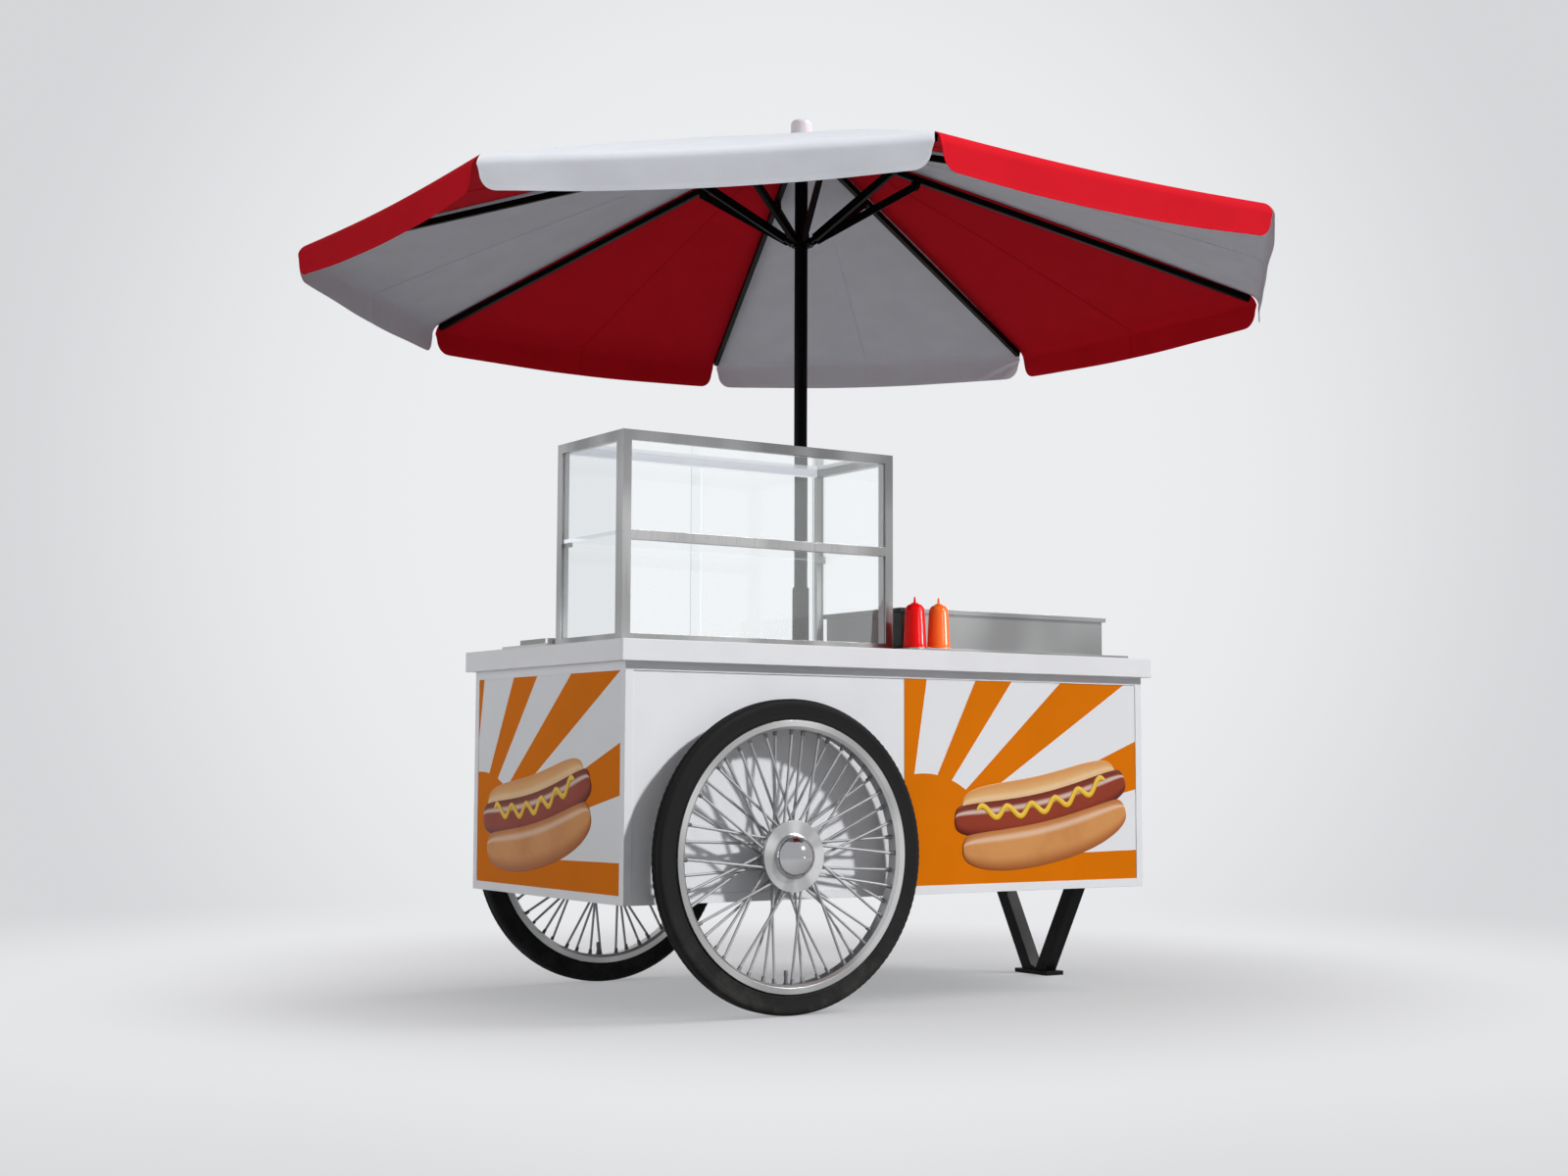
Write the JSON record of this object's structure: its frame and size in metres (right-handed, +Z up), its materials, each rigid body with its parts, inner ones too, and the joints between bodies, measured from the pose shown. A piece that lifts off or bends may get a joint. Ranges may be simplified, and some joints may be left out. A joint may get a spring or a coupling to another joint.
{
  "type": "hot dog cart",
  "caption": "Street food cart: counter on wire wheels and a V stand, with glass case, steel trough, sauce bottles, storage cabinet and a folding octagonal umbrella.",
  "frame": {"origin": "on the ground below the umbrella pole's axis, in the middle of the whole outline", "axes": "+X along the counter towards the trough and stand, -Y towards the customers, +Z up"},
  "size_m": [2.6572, 2.6572, 2.4914],
  "materials": {
    "white_coat": "white powder coat",
    "white_board": "matt white",
    "counter_laminate": "white laminate over board",
    "print": "printed film",
    "steel": "brushed",
    "chrome": "polished",
    "tyre": "matt black rubber",
    "black_steel": "black powder coat",
    "black_aluminium": "black",
    "white_plastic": "moulded white",
    "glass": "clear",
    "red_plastic": "smooth",
    "orange_plastic": "smooth",
    "red_fabric": "woven canvas",
    "white_fabric": "woven canvas"
  },
  "bodies": {
    "cart": {"body_frame": "white_coat", "floor_panel": "white_coat", "front_panel": "white_coat", "end_panels": "white_coat", "back_panel": "white_coat", "front_graphic": "print", "end_graphic": "print", "door_hinges": "steel", "countertop": "counter_laminate", "axle": "steel", "axle_blocks": "steel", "stand_legs": "black_steel", "stand_foot": "black_steel", "case_frame": "steel", "case_panes": "glass", "case_shelf": "glass", "trough": "steel", "steel_trays": "steel", "cutting_board": "white_board", "pole_sleeve": "black_steel", "pole_socket": "black_steel"},
    "front_wheel": {"front_tyre": "tyre", "front_rim": "steel", "front_spokes": "chrome", "front_hub": "steel", "front_hub_cap": "chrome"},
    "back_wheel": {"back_tyre": "tyre", "back_rim": "steel", "back_spokes": "chrome", "back_hub": "steel", "back_hub_cap": "chrome"},
    "pole_lower": {"pole_lower": "black_steel"},
    "umbrella": {"pole_upper": "black_steel", "finial": "white_plastic", "rib_hub": "black_aluminium", "canopy_red": "red_fabric", "canopy_white": "white_fabric"},
    "runner": {"runner": "black_aluminium"},
    "rib_1": {"rib_1": "black_aluminium"},
    "strut_1": {"strut_1": "black_aluminium"},
    "rib_2": {"rib_2": "black_aluminium"},
    "strut_2": {"strut_2": "black_aluminium"},
    "rib_3": {"rib_3": "black_aluminium"},
    "strut_3": {"strut_3": "black_aluminium"},
    "rib_4": {"rib_4": "black_aluminium"},
    "strut_4": {"strut_4": "black_aluminium"},
    "rib_5": {"rib_5": "black_aluminium"},
    "strut_5": {"strut_5": "black_aluminium"},
    "rib_6": {"rib_6": "black_aluminium"},
    "strut_6": {"strut_6": "black_aluminium"},
    "rib_7": {"rib_7": "black_aluminium"},
    "strut_7": {"strut_7": "black_aluminium"},
    "rib_8": {"rib_8": "black_aluminium"},
    "strut_8": {"strut_8": "black_aluminium"},
    "case_door_left": {"case_door_left": "glass"},
    "case_door_right": {"case_door_right": "glass"},
    "back_door_left": {"back_door_left": "white_board"},
    "back_door_right": {"back_door_right": "white_board"},
    "red_bottle": {"red_bottle": "red_plastic"},
    "orange_bottle": {"orange_bottle": "orange_plastic"}
  },
  "joints": [
    {"name": "front_wheel_spin", "type": "hinge", "parent": "cart", "child": "front_wheel", "pos_m": [-0.524, -0.742, 0.382], "axis": [0, 1, 0], "continuous": true},
    {"name": "back_wheel_spin", "type": "hinge", "parent": "cart", "child": "back_wheel", "pos_m": [-0.524, 0.208, 0.382], "axis": [0, 1, 0], "continuous": true},
    {"name": "umbrella_lift", "type": "slide", "parent": "cart", "child": "pole_lower", "axis": [0, 0, 1], "range_m": [0, 0.5]},
    {"name": "umbrella_turn", "type": "hinge", "parent": "pole_lower", "child": "umbrella", "pos_m": [0, 0, 1.05], "axis": [0, 0, 1], "continuous": true},
    {"name": "umbrella_fold", "type": "hinge", "parent": "umbrella", "child": "rib_1", "pos_m": [0.04124, 0.01802, 2.42531], "axis": [-0.4003, 0.9164, 0], "range_deg": [0, 22.71], "deforming": ["canopy_red", "canopy_white"]},
    {"name": "rib_2_fold", "type": "hinge", "parent": "umbrella", "child": "rib_2", "pos_m": [0.01642, 0.0419, 2.42531], "axis": [-0.9311, 0.3649, 0], "range_deg": [0, 23.21]},
    {"name": "rib_3_fold", "type": "hinge", "parent": "umbrella", "child": "rib_3", "pos_m": [-0.01802, 0.04124, 2.42531], "axis": [-0.9164, -0.4003, 0], "range_deg": [0, 23.21]},
    {"name": "rib_4_fold", "type": "hinge", "parent": "umbrella", "child": "rib_4", "pos_m": [-0.0419, 0.01642, 2.42531], "axis": [-0.3649, -0.9311, 0], "range_deg": [0, 23.21]},
    {"name": "rib_5_fold", "type": "hinge", "parent": "umbrella", "child": "rib_5", "pos_m": [-0.04124, -0.01802, 2.42531], "axis": [0.4003, -0.9164, 0], "range_deg": [0, 23.21]},
    {"name": "rib_6_fold", "type": "hinge", "parent": "umbrella", "child": "rib_6", "pos_m": [-0.01642, -0.0419, 2.42531], "axis": [0.9311, -0.3649, 0], "range_deg": [0, 23.21]},
    {"name": "rib_7_fold", "type": "hinge", "parent": "umbrella", "child": "rib_7", "pos_m": [0.01802, -0.04124, 2.42531], "axis": [0.9164, 0.4003, 0], "range_deg": [0, 23.21]},
    {"name": "rib_8_fold", "type": "hinge", "parent": "umbrella", "child": "rib_8", "pos_m": [0.0419, -0.01642, 2.42531], "axis": [0.3649, 0.9311, 0], "range_deg": [0, 23.21]},
    {"name": "strut_1_fold", "type": "hinge", "parent": "rib_1", "child": "strut_1", "pos_m": [0.31705, 0.13851, 2.31443], "axis": [-0.4003, 0.9164, 0], "range_deg": [-40.09, 0]},
    {"name": "strut_2_fold", "type": "hinge", "parent": "rib_2", "child": "strut_2", "pos_m": [0.12624, 0.32213, 2.31443], "axis": [-0.9311, 0.3649, 0], "range_deg": [-40.09, 0]},
    {"name": "strut_3_fold", "type": "hinge", "parent": "rib_3", "child": "strut_3", "pos_m": [-0.13851, 0.31705, 2.31443], "axis": [-0.9164, -0.4003, 0], "range_deg": [-40.09, 0]},
    {"name": "strut_4_fold", "type": "hinge", "parent": "rib_4", "child": "strut_4", "pos_m": [-0.32213, 0.12624, 2.31443], "axis": [-0.3649, -0.9311, 0], "range_deg": [-40.09, 0]},
    {"name": "strut_5_fold", "type": "hinge", "parent": "rib_5", "child": "strut_5", "pos_m": [-0.31705, -0.13851, 2.31443], "axis": [0.4003, -0.9164, 0], "range_deg": [-40.09, 0]},
    {"name": "strut_6_fold", "type": "hinge", "parent": "rib_6", "child": "strut_6", "pos_m": [-0.12624, -0.32213, 2.31443], "axis": [0.9311, -0.3649, 0], "range_deg": [-40.09, 0]},
    {"name": "strut_7_fold", "type": "hinge", "parent": "rib_7", "child": "strut_7", "pos_m": [0.13851, -0.31705, 2.31443], "axis": [0.9164, 0.4003, 0], "range_deg": [-40.09, 0]},
    {"name": "strut_8_fold", "type": "hinge", "parent": "rib_8", "child": "strut_8", "pos_m": [0.32213, -0.12624, 2.31443], "axis": [0.3649, 0.9311, 0], "range_deg": [-40.09, 0]},
    {"name": "runner_slide", "type": "slide", "parent": "umbrella", "child": "runner", "axis": [0, 0, 1], "range_m": [-0.1902, 0]},
    {"name": "case_door_left_slide", "type": "slide", "parent": "cart", "child": "case_door_left", "axis": [1, 0, 0], "range_m": [0, 0.3735]},
    {"name": "case_door_right_slide", "type": "slide", "parent": "cart", "child": "case_door_right", "axis": [-1, 0, 0], "range_m": [0, 0.3735]},
    {"name": "back_door_left_swing", "type": "hinge", "parent": "cart", "child": "back_door_left", "pos_m": [-0.129, 0.149, 0.56], "axis": [0, 0, 1], "range_deg": [0, 90]},
    {"name": "back_door_right_swing", "type": "hinge", "parent": "cart", "child": "back_door_right", "pos_m": [0.668, 0.149, 0.56], "axis": [0, 0, -1], "range_deg": [0, 110]},
    {"name": "red_bottle_lift", "type": "slide", "parent": "cart", "child": "red_bottle", "axis": [0, 0, 1], "range_m": [0, 0.2]},
    {"name": "orange_bottle_lift", "type": "slide", "parent": "cart", "child": "orange_bottle", "axis": [0, 0, 1], "range_m": [0, 0.2]}
  ],
  "couplings": [
    {"joint": "rib_2_fold", "follows": "umbrella_fold", "ratio": 1},
    {"joint": "rib_3_fold", "follows": "umbrella_fold", "ratio": 1},
    {"joint": "rib_4_fold", "follows": "umbrella_fold", "ratio": 1},
    {"joint": "rib_5_fold", "follows": "umbrella_fold", "ratio": 1},
    {"joint": "rib_6_fold", "follows": "umbrella_fold", "ratio": 1},
    {"joint": "rib_7_fold", "follows": "umbrella_fold", "ratio": 1},
    {"joint": "rib_8_fold", "follows": "umbrella_fold", "ratio": 1},
    {"joint": "strut_1_fold", "follows": "umbrella_fold", "ratio": -1.7214},
    {"joint": "strut_2_fold", "follows": "umbrella_fold", "ratio": -1.7214},
    {"joint": "strut_3_fold", "follows": "umbrella_fold", "ratio": -1.7214},
    {"joint": "strut_4_fold", "follows": "umbrella_fold", "ratio": -1.7214},
    {"joint": "strut_5_fold", "follows": "umbrella_fold", "ratio": -1.7214},
    {"joint": "strut_6_fold", "follows": "umbrella_fold", "ratio": -1.7214},
    {"joint": "strut_7_fold", "follows": "umbrella_fold", "ratio": -1.7214},
    {"joint": "strut_8_fold", "follows": "umbrella_fold", "ratio": -1.7214},
    {"joint": "runner_slide", "follows": "umbrella_fold", "m_per_rad": -0.4748}
  ]
}
